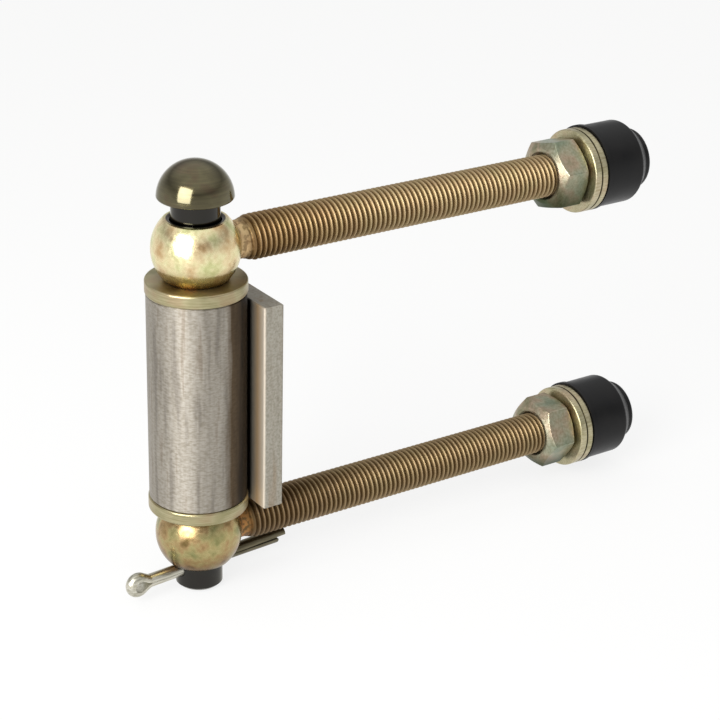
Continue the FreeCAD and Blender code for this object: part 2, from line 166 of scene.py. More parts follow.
bolt = {
    "heights": {"upper": 57.5, "lower": -47.5},
    "eyeX": -25.0,  # the pin's axis
    "ballRadius": 15.0,
    "eyeHalf": 10.5,
    "bore": 8.35,
    "boreChamfer": 0.6,
    "edge": 0.35,  # worn edge between ball and flat
    "edgeSteps": 3,
    "edgeAngle": 25.0,
    "edgeHardened": False,
    "crest": 7.87,  # M16 x 2, rolled to the middle of its tolerance
    "root": 6.65,
    "pitch": 2.0,
    "flankAngle": 30.0,
    "neck": 6.6,
    "fillet": 1.5,
    "buried": 0.5,  # the neck starts this far inside the ball
    "runIn": (-8.4, -4.6),  # the rolled thread grows out of the neck between these
    "end": 156.0,
    "endChamfer": 1.5,
    "rows": 10,  # rows of faces in one pitch
    "around": 52,
}

# Zinc plate under yellow chromate: still a gloss metal, but straw, green and pink by turns.
# Blotches are a drip's size. The thread's roots hold the thick brown film that the rolls left.
boltZincLook = {
    "blotch": (6, 6, 6),
    "blotchDetail": 2.5,
    "tints": {
        "upper": [(0.30, "#d6d79f"), (0.44, "#f0e8b8"), (0.56, "#efdcb0"), (0.72, "#d4b486")],
        "lower": [(0.30, "#908e60"), (0.45, "#b3a676"), (0.57, "#ae9369"), (0.70, "#7c6842")],
    },
    "blotchDepth": 0.022,
    "grain": (1.3, 1.3, 1.3),
    "grainDetail": 3.0,
    "grainShade": [(0.35, "#efece6"), (0.65, "#ffffff")],
    "grainDepth": 0.005,
    "roughness": (0.20, 0.30),
    "threadRoughness": 0.60,
    "groove": {  # root, flank and crest
        "upper": [(0.1, "#665030"), (0.55, "#9d8969"), (0.95, "#b3a285")],
        "lower": [(0.1, "#665030"), (0.55, "#94805f"), (0.95, "#ae9a7a")],
    },
    "firstTurns": (5.0, 45.0),  # the turns by the neck took another shade in the bath
    "first": {
        "upper": [(0.0, "#dcc09c"), (1.0, "#ffffff")],
        "lower": [(0.0, "#ad9c98"), (1.0, "#ffffff")],
    },
    "firstShare": 0.5,
    "blotchShare": 0.35,  # how far the thread takes on the ball's blotches
    "underShadeFrom": (-11.0, -2.0),  # painted shade: browner under the eye's middle, between these heights
    "under": [(0.0, "#9c8460"), (1.0, "#ffffff")],
    "speck": 1.5,
    "speckDetail": 3.0,
    "forged": {  # the neck, with specks that forging scale left on it
        "upper": [(0.40, "#7c5833"), (0.54, "#c9a97c")],
        "lower": [(0.40, "#5b3a20"), (0.54, "#a6703d")],
    },
    "forgedShare": 0.8,
    "neckFrom": (-12.6, -11.2),
    "rodFrom": (-9.0, -6.5),
    "mouthFrom": (10.0, 9.6),  # painted shade of the colour below, round the bore, this far from the pin's axis
    "mouth": "#33291e",
}


def makeBoltZinc(side):
    look = lookOf(boltZincLook, side)
    middle = bolt["heights"][side]

    def threadCover(tree, here, colour, rough):
        spot = addNode(tree, "ShaderNodeSeparateXYZ", {0: here}).outputs
        shares = {}
        for place, value, share in (
            ("mouthFrom", lineDistance(tree, here, (bolt["eyeX"], 0, 0), (1, 1, 0)), 1.0),
            ("neckFrom", spot["X"], look["forgedShare"]),
            ("rodFrom", spot["X"], 1.0),
        ):
            low, high = (end * mm for end in look[place])
            inputs = {"Value": value, 1: low, 2: high, 4: share}
            shares[place] = addNode(tree, "ShaderNodeMapRange", inputs).outputs[0]

        depth = lineDistance(tree, here, (0, 0, middle), (0, 1, 1))
        inputs = {"Value": depth, 1: bolt["root"] * mm, 2: bolt["crest"] * mm}
        groove = addNode(tree, "ShaderNodeMapRange", inputs).outputs[0]
        film = addNode(tree, "ShaderNodeValToRGB", {"Fac": groove}, stops=look["groove"])
        shifted = layFilm(
            tree,
            film.outputs["Color"],
            spot["X"],
            look["firstTurns"],
            look["first"],
            share=look["firstShare"],
        )
        thread = addNode(
            tree,
            "ShaderNodeMix",
            {0: look["blotchShare"], 6: shifted, 7: colour},
            data_type="RGBA",
            blend_type="MULTIPLY",
        )

        inputs = {"Vector": here, "Scale": 1 / (look["speck"] * mm), "Detail": look["speckDetail"]}
        specks = addNode(tree, "ShaderNodeTexNoise", inputs).outputs["Fac"]
        forged = addNode(tree, "ShaderNodeValToRGB", {"Fac": specks}, stops=look["forged"])

        # painted shade under the eye
        underShadeFrom = [middle + level for level in look["underShadeFrom"]]
        colour = layFilm(tree, colour, spot["Z"], underShadeFrom, look["under"])
        for place, finish in (
            ("neckFrom", forged.outputs["Color"]),
            ("rodFrom", thread.outputs[2]),
            # painted shade round the bore
            ("mouthFrom", linear(look["mouth"])),
        ):
            inputs = {0: shares[place], 6: colour, 7: finish}
            colour = addNode(tree, "ShaderNodeMix", inputs, data_type="RGBA").outputs[2]
        inputs = {0: shares["neckFrom"], 2: rough, 3: look["threadRoughness"]}
        return colour, addNode(tree, "ShaderNodeMix", inputs).outputs[0]

    return makeMetal(side + " bolt, yellow zinc", look, threadCover)


# The nuts' film is thinner and duller than the bolts': greenish grey with pink drifts. The lower
# flats are painted greener and darker, as painted shade.
nutZincLook = {
    "blotch": (9, 9, 9),
    "blotchDetail": 2.0,
    "tints": [(0.32, "#8d9883"), (0.48, "#aba992"), (0.60, "#b3a28c"), (0.72, "#938f75")],
    "blotchDepth": 0.03,
    "grain": (0.9, 0.9, 0.9),
    "grainDetail": 4.0,
    "grainShade": [(0.35, "#e0ddd5"), (0.65, "#ffffff")],
    "grainDepth": 0.008,
    "roughness": (0.33, 0.44),
    "lowerShadeFrom": {"upper": (-9.0, 3.0), "lower": (-11.0, -5.0)},  # painted shade on the lower flats, between these heights over the rod's axis
    "below": [(0.0, "#798670"), (1.0, "#ffffff")],
}


def makeNutZinc(side):
    look = lookOf(nutZincLook, side)

    # Painted shade: the lower flats are multiplied greener and darker.
    def nutShadeCover(tree, here, colour, rough):
        height = addNode(tree, "ShaderNodeSeparateXYZ", {0: here}).outputs["Z"]
        lowerShadeFrom = [bolt["heights"][side] + level for level in look["lowerShadeFrom"]]
        return layFilm(tree, colour, height, lowerShadeFrom, look["below"]), rough

    return makeMetal(side + " nut, yellow zinc", look, nutShadeCover)


# Punched washers: straw and pale olive, with the punch's shear lines across their rims.
washerZincLook = {
    "blotch": (12, 8, 8),
    "blotchDetail": 2.0,
    "tints": [(0.34, "#b5b090"), (0.50, "#c5bd9f"), (0.66, "#c0af94")],
    "blotchDepth": 0.02,
    "grain": (3.0, 0.5, 0.5),
    "grainDetail": 3.0,
    "grainShade": [(0.35, "#dcd8cc"), (0.65, "#ffffff")],
    "grainDepth": 0.007,
    "roughness": (0.30, 0.44),
}

# Painted shadow in the seam between the two washers of a pair, out by their rims.
washerSeamShade = {
    "at": {"upper": 135.8, "lower": 138.2},
    "width": 0.5,  # it is at its blackest within a third of this
    "rimFrom": (14.0, 14.6),
    "seamShade": "#3b3528",
}


def makeWasherZinc(side):
    seam = lookOf(washerSeamShade, side)

    # Painted shadow in the seam, near the rims.
    def seamShadeCover(tree, here, colour, rough):
        along = addNode(tree, "ShaderNodeSeparateXYZ", {0: here}).outputs["X"]
        inputs = {0: along, 1: seam["at"] * mm}
        off = addNode(tree, "ShaderNodeMath", inputs, operation="SUBTRACT")
        gap = addNode(tree, "ShaderNodeMath", {0: off.outputs[0]}, operation="ABSOLUTE")
        width = seam["width"] * mm
        inputs = {"Value": gap.outputs[0], 1: width, 2: width / 3}
        near = addNode(tree, "ShaderNodeMapRange", inputs)
        low, high = (end * mm for end in seam["rimFrom"])
        out = lineDistance(tree, here, (0, 0, bolt["heights"][side]), (0, 1, 1))
        rim = addNode(tree, "ShaderNodeMapRange", {"Value": out, 1: low, 2: high})
        inputs = {0: near.outputs[0], 1: rim.outputs[0]}
        share = addNode(tree, "ShaderNodeMath", inputs, operation="MULTIPLY")
        seamShaded = addNode(
            tree,
            "ShaderNodeMix",
            {0: share.outputs[0], 6: colour, 7: linear(seam["seamShade"])},
            data_type="RGBA",
            blend_type="MULTIPLY",
        )
        return seamShaded.outputs[2], rough

    return makeMetal(side + " punched washer, yellow zinc", washerZincLook, seamShadeCover)


# The same film on the thrust washers, whose rims were turned, so their lines run round.
thrustZincLook = dict(
    washerZincLook,
    blotch=(8, 8, 6),
    grain=(9.0, 9.0, 0.25),
    tints=[(0.34, "#a5a07c"), (0.50, "#b5ad8b"), (0.66, "#b2a182")],
)

# Turned pin under dark olive zinc: a mirror's gloss on the burnished head, and black with oil
# down the shank. The lathe's lines run round it; their 0.1 mm is drawn at 0.35 mm.
pinSteelLook = {
    "blotch": (9, 9, 5),
    "blotchDetail": 2.0,
    "tints": [(0.35, "#544d30"), (0.52, "#645d3f"), (0.68, "#5f4f36")],
    "blotchDepth": 0.0,
    "grain": (30, 30, 0.35),
    "grainDetail": 2.0,
    "grainShade": [(0.35, "#e4e4e0"), (0.65, "#ffffff")],
    "grainDepth": 0.0012,
    "roughness": (0.10, 0.17),
    "edge": "#c4c2b6",
    "coat": 0.8,
    "coatRoughness": 0.08,
    "shank": "#48432f",
    "headZ": 74.9,
}


def shankCover(tree, here, colour, rough):
    height = addNode(tree, "ShaderNodeSeparateXYZ", {0: here}).outputs["Z"]
    inputs = {0: height, 1: pinSteelLook["headZ"] * mm}
    below = addNode(tree, "ShaderNodeMath", inputs, operation="LESS_THAN")
    darkened = addNode(
        tree,
        "ShaderNodeMix",
        {0: below.outputs[0], 6: colour, 7: linear(pinSteelLook["shank"])},
        data_type="RGBA",
        blend_type="MULTIPLY",
    )
    return darkened.outputs[2], rough


# Bright drawn wire with a thin zinc wash, lines along the wire.
wireSteelLook = {
    "blotch": (14, 5, 5),
    "blotchDetail": 2.0,
    "tints": [(0.35, "#c3c1b2"), (0.52, "#dedbcf"), (0.68, "#c6c0ad")],
    "blotchDepth": 0.0,
    "grain": (12, 0.5, 0.5),
    "grainDetail": 2.0,
    "grainShade": [(0.35, "#d2d0c8"), (0.65, "#ffffff")],
    "grainDepth": 0.003,
    "roughness": (0.28, 0.40),
    "legs": (-19.0, -11.0),  # painted shade darkens the legs beyond the pin, between these X
    "darkened": [(0.0, "#ffffff"), (1.0, "#8c8676")],
}


# Painted shade on the split pin's legs.
def legCover(tree, here, colour, rough):
    along = addNode(tree, "ShaderNodeSeparateXYZ", {0: here}).outputs["X"]
    return layFilm(tree, colour, along, wireSteelLook["legs"], wireSteelLook["darkened"]), rough


weld = {
    "middle": (-9.3, 7.0),  # X and Y
    "low": -27.5,
    "high": 32.5,
    "barFace": -7.7,
    "root": 3.0,  # Y of the bead's hidden edges
    "barLeg": 10.5,  # how far out in Y it reaches on the bar
    "tubeLeg": 9.0,  # and on the tube
    "tubeRadius": 16.85,
    "crown": 5.6,  # radius of its face
    "across": 14,
    "rowStep": 0.2,
    "ripple": 2.1,  # one puddle to the next
    "rippleDepth": 0.38,
    "rippleFade": 0.6,  # share of the depth that is lost at the bead's edges
    "rippleTail": 1.6,  # above 1, each puddle's front is steep and its tail long
    "trail": 1.1,  # the edges of a puddle lie this far behind its middle
    "waver": 0.25,
    "waverTurn": 0.7,  # radians of waver in each mm
    "endRun": 2.5,  # the ends rise over this length
    "sunk": 1.2,  # from this far below the chord
    "heat": [(0.0, "#5d5a58"), (0.4, "#5f6478"), (0.65, "#8c6a4c"), (1.0, "#ffffff")],
    "heatReach": (2.5, 8.5),  # from the bead's middle
    "heatEnds": (4.0, -3.0),  # beyond the bead's ends
}


# Straw, brown and blue heat colours that spread a few millimetres from the weld.
def heatCover(tree, here, colour, rough):
    height = addNode(tree, "ShaderNodeSeparateXYZ", {0: here}).outputs["Z"]
    inputs = {0: height, 1: (weld["low"] + weld["high"]) / 2 * mm}
    beyond = addNode(tree, "ShaderNodeMath", inputs, operation="SUBTRACT")
    reach = addNode(tree, "ShaderNodeMath", {0: beyond.outputs[0]}, operation="ABSOLUTE")
    half = (weld["high"] - weld["low"]) / 2
    low, high = ((half + end) * mm for end in weld["heatEnds"])
    inputs = {"Value": reach.outputs[0], 1: low, 2: high}
    share = addNode(tree, "ShaderNodeMapRange", inputs).outputs[0]
    away = lineDistance(tree, here, (*weld["middle"], 0), (1, 1, 0))
    return layFilm(tree, colour, away, weld["heatReach"], weld["heat"], share=share), rough


# Drawn tube, rubbed round with emery and oiled: the fine lines run round it and draw each light
# out along it. They are real at 0.1 mm and drawn at 0.6 mm. Brown to black shade is painted on its
# side by the bar.
tubeSteelLook = {
    "blotch": (2.6, 2.6, 34),
    "blotchDetail": 3.0,
    "tints": [(0.32, "#918b82"), (0.46, "#a49e94"), (0.58, "#aca69c"), (0.70, "#9a9185")],
    "blotchDepth": 0.012,
    "grain": (1.5, 1.5, 0.6),
    "grainDetail": 4.0,
    "grainShade": [(0.32, "#dedbd4"), (0.62, "#ffffff")],
    "grainDepth": 0.004,
    "roughness": (0.47, 0.57),
    "turned": 0.5,
    "sideShadeFrom": (-24.0, -15.0),  # X, from none to the black of the painted shade
    "sideShade": [(0.0, "#ffffff"), (0.3, "#94836f"), (0.66, "#796956"), (0.9, "#33291f")],
    "runs": (4, 4, 26),
    "runsDetail": 3.0,
    "wander": 5.0,  # the runs move the painted shade's edge by up to half of this either way
}


# Painted shade and painted dark reflection of the bar on the tube's side by the bar, black in the
# crevice; also the weld's heat colours.
def tubeCover(tree, here, colour, rough):
    look = tubeSteelLook
    colour, rough = heatCover(tree, here, colour, rough)
    along = addNode(tree, "ShaderNodeSeparateXYZ", {0: here}).outputs["X"]
    sizes = [1 / (size * mm) for size in look["runs"]]
    spread = addNode(tree, "ShaderNodeMapping", {"Vector": here, "Scale": sizes})
    inputs = {"Vector": spread.outputs[0], "Scale": 1.0, "Detail": look["runsDetail"]}
    runs = addNode(tree, "ShaderNodeTexNoise", inputs).outputs["Fac"]
    inputs = {0: runs, 1: look["wander"] * mm, 2: along}
    edge = addNode(tree, "ShaderNodeMath", inputs, operation="MULTIPLY_ADD").outputs[0]
    # painted shade and reflection, with a streaky edge
    sideShadeFrom = [end + look["wander"] / 2 for end in look["sideShadeFrom"]]
    return layFilm(tree, colour, edge, sideShadeFrom, look["sideShade"]), rough


# Rolled flat bar, lightly oiled: grey, with tan bands that the rolls left along its length.
barSteelLook = {
    "blotch": (3.5, 5, 60),
    "blotchDetail": 2.0,
    "tints": [(0.32, "#948e82"), (0.47, "#a39f94"), (0.58, "#9d978b"), (0.70, "#988771")],
    "blotchDepth": 0.02,
    "grain": (0.8, 0.8, 0.8),
    "grainDetail": 4.0,
    "grainShade": [(0.32, "#dad7d0"), (0.62, "#ffffff")],
    "grainDepth": 0.012,
    "roughness": (0.42, 0.56),
    "metallic": 0.6,
    "filmEdge": 0.8,  # the inner face's film ends this far round its edges
    "creviceShade": (5.0, 15.0),  # Y either way
    # painted black shade at the crevice, then the tan film painted lighter as painted light
    "inner": [(0.05, "#1d1814"), (0.22, "#c4bcac"), (0.55, "#d2b288"), (0.95, "#ded2c0")],
}


# The bar's face towards the sleeve: its tan film, painted lighter than the bar to stand in for
# light, and painted black shade in the crevice by the sleeve.
def barCover(tree, here, colour, rough):
    look = barSteelLook
    spot = addNode(tree, "ShaderNodeSeparateXYZ", {0: here}).outputs
    face = weld["barFace"]
    inputs = {"Value": spot["X"], 1: (face + look["filmEdge"]) * mm, 2: face * mm}
    inner = addNode(tree, "ShaderNodeMapRange", inputs).outputs[0]
    beside = addNode(tree, "ShaderNodeMath", {0: spot["Y"]}, operation="ABSOLUTE").outputs[0]
    colour = layFilm(
        tree, colour, beside, look["creviceShade"], look["inner"], share=inner, blend="MIX"
    )
    return heatCover(tree, here, colour, rough)


# Mild steel weld metal: grey under a thin brown oxide, with a fine rough skin.
weldMetalLook = {
    "blotch": (3, 3, 5),
    "blotchDetail": 3.0,
    "tints": [(0.34, "#6a6762"), (0.50, "#8a847a"), (0.66, "#77604a")],
    "blotchDepth": 0.03,
    "grain": (0.5, 0.5, 0.5),
    "grainDetail": 3.0,
    "grainShade": [(0.32, "#a8a29a"), (0.62, "#ffffff")],
    "grainDepth": 0.02,
    "roughness": (0.32, 0.5),
}

# Moulded black polyethylene: a soft waxy gloss over a skin with the mould's faint unevenness.
capPlasticLook = {
    "skin": 1.1,
    "skinDetail": 3.0,
    "skinDepth": 0.006,
    "drift": 8.0,
    "driftDetail": 2.0,
    "tints": [(0.4, "#080809"), (0.75, "#100f0f")],
    "roughness": (0.32, 0.42),
    "ior": 1.51,
    "specular": 0.22,
}


def makeCapPlastic(look):
    plastic, tree = startMaterial("cap, moulded black polyethylene")
    here = addNode(tree, "ShaderNodeTexCoord").outputs["Object"]
    layers = {}
    for layer in ("skin", "drift"):
        inputs = {"Vector": here, "Scale": 1 / (look[layer] * mm), "Detail": look[layer + "Detail"]}
        layers[layer] = addNode(tree, "ShaderNodeTexNoise", inputs).outputs["Fac"]
    colour = addNode(tree, "ShaderNodeValToRGB", {"Fac": layers["drift"]}, stops=look["tints"])
    low, high = look["roughness"]
    rough = addNode(
        tree,
        "ShaderNodeMapRange",
        {"Value": layers["drift"], 1: noiseSpan[0], 2: noiseSpan[1], 3: low, 4: high},
    )
    inputs = {"Height": layers["skin"], "Distance": look["skinDepth"] * mm}
    bump = addNode(tree, "ShaderNodeBump", inputs)
    shader = addNode(
        tree,
        "ShaderNodeBsdfPrincipled",
        {
            "Base Color": colour.outputs["Color"],
            "Roughness": rough.outputs[0],
            "Metallic": 0.0,
            "IOR": look["ior"],
            "Specular IOR Level": look["specular"],
            "Normal": bump.outputs[0],
        },
    )
    addNode(tree, "ShaderNodeOutputMaterial", {"Surface": shader.outputs[0]})
    return plastic


boltZinc = {side: makeBoltZinc(side) for side in bolt["heights"]}
nutZinc = {side: makeNutZinc(side) for side in bolt["heights"]}
weldMetal = makeMetal("weld bead, mild steel", weldMetalLook)
finishes = {
    "thrust_washer": makeMetal("turned washer, yellow zinc", thrustZincLook),
    "hinge_pin": makeMetal("pin, dark olive zinc on turned steel", pinSteelLook, shankCover),
    "split_pin": makeMetal("split pin, drawn wire", wireSteelLook, legCover),
    "sleeve": makeMetal("sleeve, drawn tube", tubeSteelLook, tubeCover),
    "weld_bar": makeMetal("weld bar, rolled flat steel", barSteelLook, barCover),
    "end_cap": makeCapPlastic(capPlasticLook),
}
for side in bolt["heights"]:
    washerZinc = makeWasherZinc(side)
    for place in ("inner", "outer"):
        finishes["%s_%s_washer" % (side, place)] = washerZinc
for node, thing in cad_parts.items():
    for ending, finish in finishes.items():
        if node.endswith(ending):
            for slot in thing.material_slots:
                slot.material = finish
print("materials made:", len(bpy.data.materials))


# Puts a finished mesh in the scene as the piece that stands for a node.
def addPiece(name, mesh, node, body):
    piece = bpy.data.objects.new(name, mesh)
    bpy.context.scene.collection.objects.link(piece)
    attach(piece, body)
    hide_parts(node)


# Runs the modifiers of a mesh and gives the plain mesh that comes out.
def finishMesh(mesh, dress):
    holder = bpy.data.objects.new("holder", mesh)
    bpy.context.scene.collection.objects.link(holder)
    dress(holder)
    bpy.context.view_layer.update()
    result = bpy.data.meshes.new_from_object(
        holder.evaluated_get(bpy.context.evaluated_depsgraph_get())
    )
    holder.modifiers.clear()
    bpy.data.objects.remove(holder)
    return result


# Rounds the sharp edges of a mesh, as the piece's dictionary says.
def roundEdges(mesh, piece):
    def dress(holder):
        bevel = holder.modifiers.new("rounded edges", "BEVEL")
        bevel.width = piece["edge"] * mm
        bevel.segments = piece["edgeSteps"]
        bevel.limit_method = "ANGLE"
        bevel.angle_limit = math.radians(piece["edgeAngle"])
        bevel.harden_normals = piece["edgeHardened"]

    return finishMesh(mesh, dress)


# A mesh from a row of loops of points: each loop is joined to the next, and the last one to the
# first in a ring, or else both ends are closed by a flat face.
def makeLoopMesh(name, loops, finish, ring=True):
    shape = bmesh.new()
    rows = []
    for loop in loops:
        rows.append([shape.verts.new([value * mm for value in point]) for point in loop])
    for here, after in zip(rows, rows[1:] + rows[:1] if ring else rows[1:]):
        for number in range(len(here)):
            following = (number + 1) % len(here)
            shape.faces.new((here[number], here[following], after[following], after[number]))
    if not ring:
        shape.faces.new(rows[0])
        shape.faces.new(reversed(rows[-1]))
    bmesh.ops.recalc_face_normals(shape, faces=shape.faces)
    for face in shape.faces:
        face.smooth = len(face.verts) == 4
    mesh = bpy.data.meshes.new(name)
    shape.to_mesh(mesh)
    shape.free()
    mesh.materials.append(finish)
    return mesh


# Nodes that roll a thread on a neck: a grid is wrapped round the X axis, its rows lie along
# the helix, and each row keeps its place in the thread's V from end to end.
def makeThreadTree():
    tree = bpy.data.node_groups.new("rolledThread", "GeometryNodeTree")
    inputs = {
        "NodeSocketFloat": (
            "Start", "End", "Height", "Pitch", "Crest", "Root", "Neck", "Fillet",
            "Fillet Centre", "Fillet Reach", "Run-in Start", "Run-in End", "End Chamfer",
        ),
        "NodeSocketInt": ("Rows", "Around"),
        "NodeSocketMaterial": ("Finish",),
    }
    for kind, names in inputs.items():
        for name in names:
            tree.interface.new_socket(name, in_out="INPUT", socket_type=kind)
    tree.interface.new_socket("Geometry", in_out="OUTPUT", socket_type="NodeSocketGeometry")
    known = {socket.name: socket for socket in addNode(tree, "NodeGroupInput").outputs}
    position = addNode(tree, "GeometryNodeInputPosition").outputs[0]
    spot = addNode(tree, "ShaderNodeSeparateXYZ", {0: position}).outputs
    known.update(x=spot["X"], y=spot["Y"])

    # each sum has a name, what it does and what it takes
    clamped = ("growth", "fall")  # these stay between 0 and 1
    for name, operation, *values in (
        # the grid's size, with one row more at each end to close the rod
        ("length", "SUBTRACT", "End", "Start"),
        ("pitches", "DIVIDE", "length", "Pitch"),
        ("turns", "ADD", "pitches", 1.0),
        ("needed", "MULTIPLY", "turns", "Rows"),
        ("whole", "CEIL", "needed"),
        ("last", "ADD", "whole", 2.0),
        ("gridRows", "ADD", "last", 1.0),
        ("gridColumns", "ADD", "Around", 1.0),
        # a point's turn round the rod, its row, and its place along the rod
        ("turn", "ADD", "x", 0.5),
        ("fromFirst", "ADD", "y", 0.5),
        ("row", "MULTIPLY", "fromFirst", "last"),
        ("stepRow", "SUBTRACT", "row", 1.0),
        ("stepped", "DIVIDE", "stepRow", "Rows"),
        ("behind", "SUBTRACT", "stepped", 1.0),
        ("wound", "ADD", "behind", "turn"),
        ("advanced", "MULTIPLY_ADD", "Pitch", "wound", "Start"),
        ("afterStart", "MAXIMUM", "advanced", "Start"),
        ("along", "MINIMUM", "afterStart", "End"),
        # the V: a crest an eighth of the pitch wide, flanks, and what is left as root
        ("place", "FRACT", "stepped"),
        ("side", "SUBTRACT", "place", 0.5),
        ("share", "ABSOLUTE", "side"),
        ("off", "MULTIPLY", "share", "Pitch"),
        ("flat", "MULTIPLY", "Pitch", 1 / 16),
        ("offFlat", "SUBTRACT", "off", "flat"),
        ("depth", "SUBTRACT", "Crest", "Root"),
        ("flank", "MULTIPLY", "depth", math.tan(math.radians(bolt["flankAngle"]))),
        ("fall", "DIVIDE", "offFlat", "flank"),
        ("fallen", "MULTIPLY", "fall", "depth"),
        ("vee", "SUBTRACT", "Crest", "fallen"),
        # the run-in, where the thread grows out of the neck
        ("grownLength", "SUBTRACT", "along", "Run-in Start"),
        ("runIn", "SUBTRACT", "Run-in End", "Run-in Start"),
        ("growth", "DIVIDE", "grownLength", "runIn"),
        ("rise", "SUBTRACT", "Crest", "Neck"),
        ("grown", "MULTIPLY_ADD", "growth", "rise", "Neck"),
        ("rolled", "MINIMUM", "vee", "grown"),
        # the fillet between neck and ball
        ("beforeCentre", "SUBTRACT", "Fillet Centre", "along"),
        ("inFillet", "MAXIMUM", "beforeCentre", 0.0),
        ("under", "MINIMUM", "inFillet", "Fillet Reach"),
        ("underSquare", "MULTIPLY", "under", "under"),
        ("filletSquare", "MULTIPLY", "Fillet", "Fillet"),
        ("bowSquare", "SUBTRACT", "filletSquare", "underSquare"),
        ("bow", "SQRT", "bowSquare"),
        ("filletAxis", "ADD", "Neck", "Fillet"),
        ("flare", "SUBTRACT", "filletAxis", "bow"),
        ("body", "MAXIMUM", "flare", "rolled"),
        # the chamfer at the rod's end
        ("chamferStart", "SUBTRACT", "End", "End Chamfer"),
        ("pastStart", "SUBTRACT", "along", "chamferStart"),
        ("past", "MAXIMUM", "pastStart", 0.0),
        ("cone", "SUBTRACT", "Crest", "past"),
        ("outline", "MINIMUM", "body", "cone"),
        # the first and last rows close both ends at the axis
        ("afterFirst", "GREATER_THAN", "row", 0.5),
        ("lastEdge", "SUBTRACT", "last", 0.5),
        ("beforeLast", "LESS_THAN", "row", "lastEdge"),
        ("inside", "MULTIPLY", "afterFirst", "beforeLast"),
        ("radius", "MULTIPLY", "outline", "inside"),
        ("angle", "MULTIPLY", "turn", 2 * math.pi),
        ("cosine", "COSINE", "angle"),
        ("sine", "SINE", "angle"),
        ("across", "MULTIPLY", "radius", "cosine"),
        ("level", "MULTIPLY_ADD", "radius", "sine", "Height"),
        # the end face's edge is sharp
        ("nearEnd", "SUBTRACT", "End", 0.001 * mm),
        ("atEnd", "GREATER_THAN", "x", "nearEnd"),
    ):
        known[name] = addNode(
            tree,
            "ShaderNodeMath",
            {number: known.get(value, value) for number, value in enumerate(values)},
            operation=operation,
            use_clamp=name in clamped,
        ).outputs[0]

    grid = addNode(
        tree,
        "GeometryNodeMeshGrid",
        {
            "Size X": 1.0,
            "Size Y": 1.0,
            "Vertices X": known["gridColumns"],
            "Vertices Y": known["gridRows"],
        },
    )
    wrapped = addNode(
        tree,
        "ShaderNodeCombineXYZ",
        {"X": known["along"], "Y": known["across"], "Z": known["level"]},
    )
    geometry = grid.outputs["Mesh"]
    for kind, inputs, settings in (
        ("SetPosition", {"Position": wrapped.outputs[0]}, {}),
        ("MergeByDistance", {"Distance": 0.002 * mm}, {}),
        ("SetShadeSmooth", {}, {}),
        (
            "StoreNamedAttribute",
            {"Name": "sharp_edge", "Value": known["atEnd"]},
            {"data_type": "BOOLEAN", "domain": "EDGE"},
        ),
        ("RealizeInstances", {}, {}),
        ("SetMaterial", {"Material": known["Finish"]}, {}),
    ):
        inputs["Geometry"] = geometry
        geometry = addNode(tree, "GeometryNode" + kind, inputs, **settings).outputs[0]
    addNode(tree, "NodeGroupOutput", {"Geometry": geometry})
    return tree


# The eye: a ball with two flats, bored through, as one closed ring round the pin's axis.
def makeEyeMesh(height, finish):
    radius, half = bolt["ballRadius"], bolt["eyeHalf"]
    bore, chamfer = bolt["bore"], bolt["boreChamfer"]
    lean = math.asin(half / radius)
    steps = 36
    outline = [(bore, -half + chamfer), (bore + chamfer, -half)]
    for step in range(steps + 1):
        angle = -lean + 2 * lean * step / steps
        outline.append((radius * math.cos(angle), radius * math.sin(angle)))
    outline += [(bore + chamfer, half), (bore, half - chamfer)]
    around = 96
    loops = []
    for turn in range(around):
        angle = 2 * math.pi * turn / around
        loops.append([
            (bolt["eyeX"] + out * math.cos(angle), out * math.sin(angle), height + up)
            for out, up in outline
        ])
    return roundEdges(makeLoopMesh("eye", loops, finish), bolt)


threadTree = makeThreadTree()
# the fillet's arc: where its middle lies along the rod, and how far it runs to the ball
filletCentre = bolt["eyeX"] + math.sqrt(
    (bolt["ballRadius"] + bolt["fillet"]) ** 2 - (bolt["neck"] + bolt["fillet"]) ** 2
)
touch = bolt["ballRadius"] / (bolt["ballRadius"] + bolt["fillet"])
filletReach = (filletCentre - bolt["eyeX"]) * (1 - touch)


# One forging: the neck and its rolled rod, and the eye.
def makeBoltMesh(side, height, finish):
    lengths = {
        "Start": filletCentre - filletReach - bolt["buried"],
        "End": bolt["end"],
        "Height": height,
        "Pitch": bolt["pitch"],
        "Crest": bolt["crest"],
        "Root": bolt["root"],
        "Neck": bolt["neck"],
        "Fillet": bolt["fillet"],
        "Fillet Centre": filletCentre,
        "Fillet Reach": filletReach,
        "Run-in Start": bolt["runIn"][0],
        "Run-in End": bolt["runIn"][1],
        "End Chamfer": bolt["endChamfer"],
    }
    values = {name: length * mm for name, length in lengths.items()}
    values.update(Rows=bolt["rows"], Around=bolt["around"], Finish=finish)

    def roll(holder):
        modifier = holder.modifiers.new("thread", "NODES")
        modifier.node_group = threadTree
        for item in threadTree.interface.items_tree:
            if item.name in values:
                modifier[item.identifier] = values[item.name]

    joined = bmesh.new()
    joined.from_mesh(finishMesh(bpy.data.meshes.new("thread"), roll))
    joined.from_mesh(makeEyeMesh(height, finish))
    whole = bpy.data.meshes.new(side + "Bolt")
    joined.to_mesh(whole)
    joined.free()
    whole.materials.append(finish)
    return whole


for side, height in bolt["heights"].items():
    mesh = makeBoltMesh(side, height, boltZinc[side])
    addPiece(side + "EyeBoltThreaded", mesh, side + "_eye_bolt", side + "_bolt")
    print(side, "bolt rolled,", len(mesh.polygons), "faces")

nut = {
    "flats": 24.0,
    "height": 13.0,
    "faceRadius": 10.1,
    "slope": 30.0,
    "bore": 8.1,
    "sink": 0.8,
    "edge": 0.3,  # forged edges are never sharp
    "edgeSteps": 2,
    "edgeAngle": 16.0,
    "edgeHardened": True,  # so that the flats shade as flats
    "inner": {"upper": (119.8, 15.0), "lower": (122.2, 34.5)},  # near face, degrees
    "outer": {"upper": (138.8, 0.0), "lower": (141.2, 0.0)},
}


